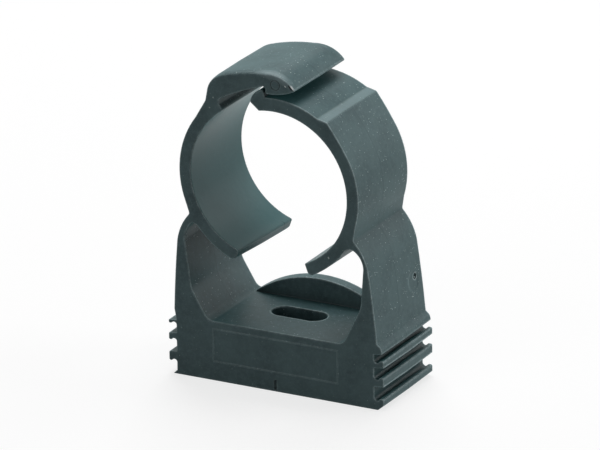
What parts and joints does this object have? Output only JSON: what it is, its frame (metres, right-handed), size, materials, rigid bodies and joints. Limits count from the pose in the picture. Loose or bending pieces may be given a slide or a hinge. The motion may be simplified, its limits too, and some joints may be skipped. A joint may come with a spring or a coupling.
{
  "type": "pipe clip",
  "caption": "One-piece plastic pipe clip: an open ring that latches over the pipe with a snap hook, on a ribbed foot with a slotted screw hole.",
  "frame": {"origin": "middle of the foot's underside, which lies on the wall", "axes": "+Z away from the wall through the pipe's axis, +Y along the pipe towards the upstand, +X across the clip towards the half that carries the latch strip"},
  "size_m": [0.0424, 0.0189, 0.0586],
  "materials": {
    "black_plastic": "fine satin, as moulded"
  },
  "bodies": {
    "root": {"pipe_clip": "black_plastic"}
  },
  "joints": []
}
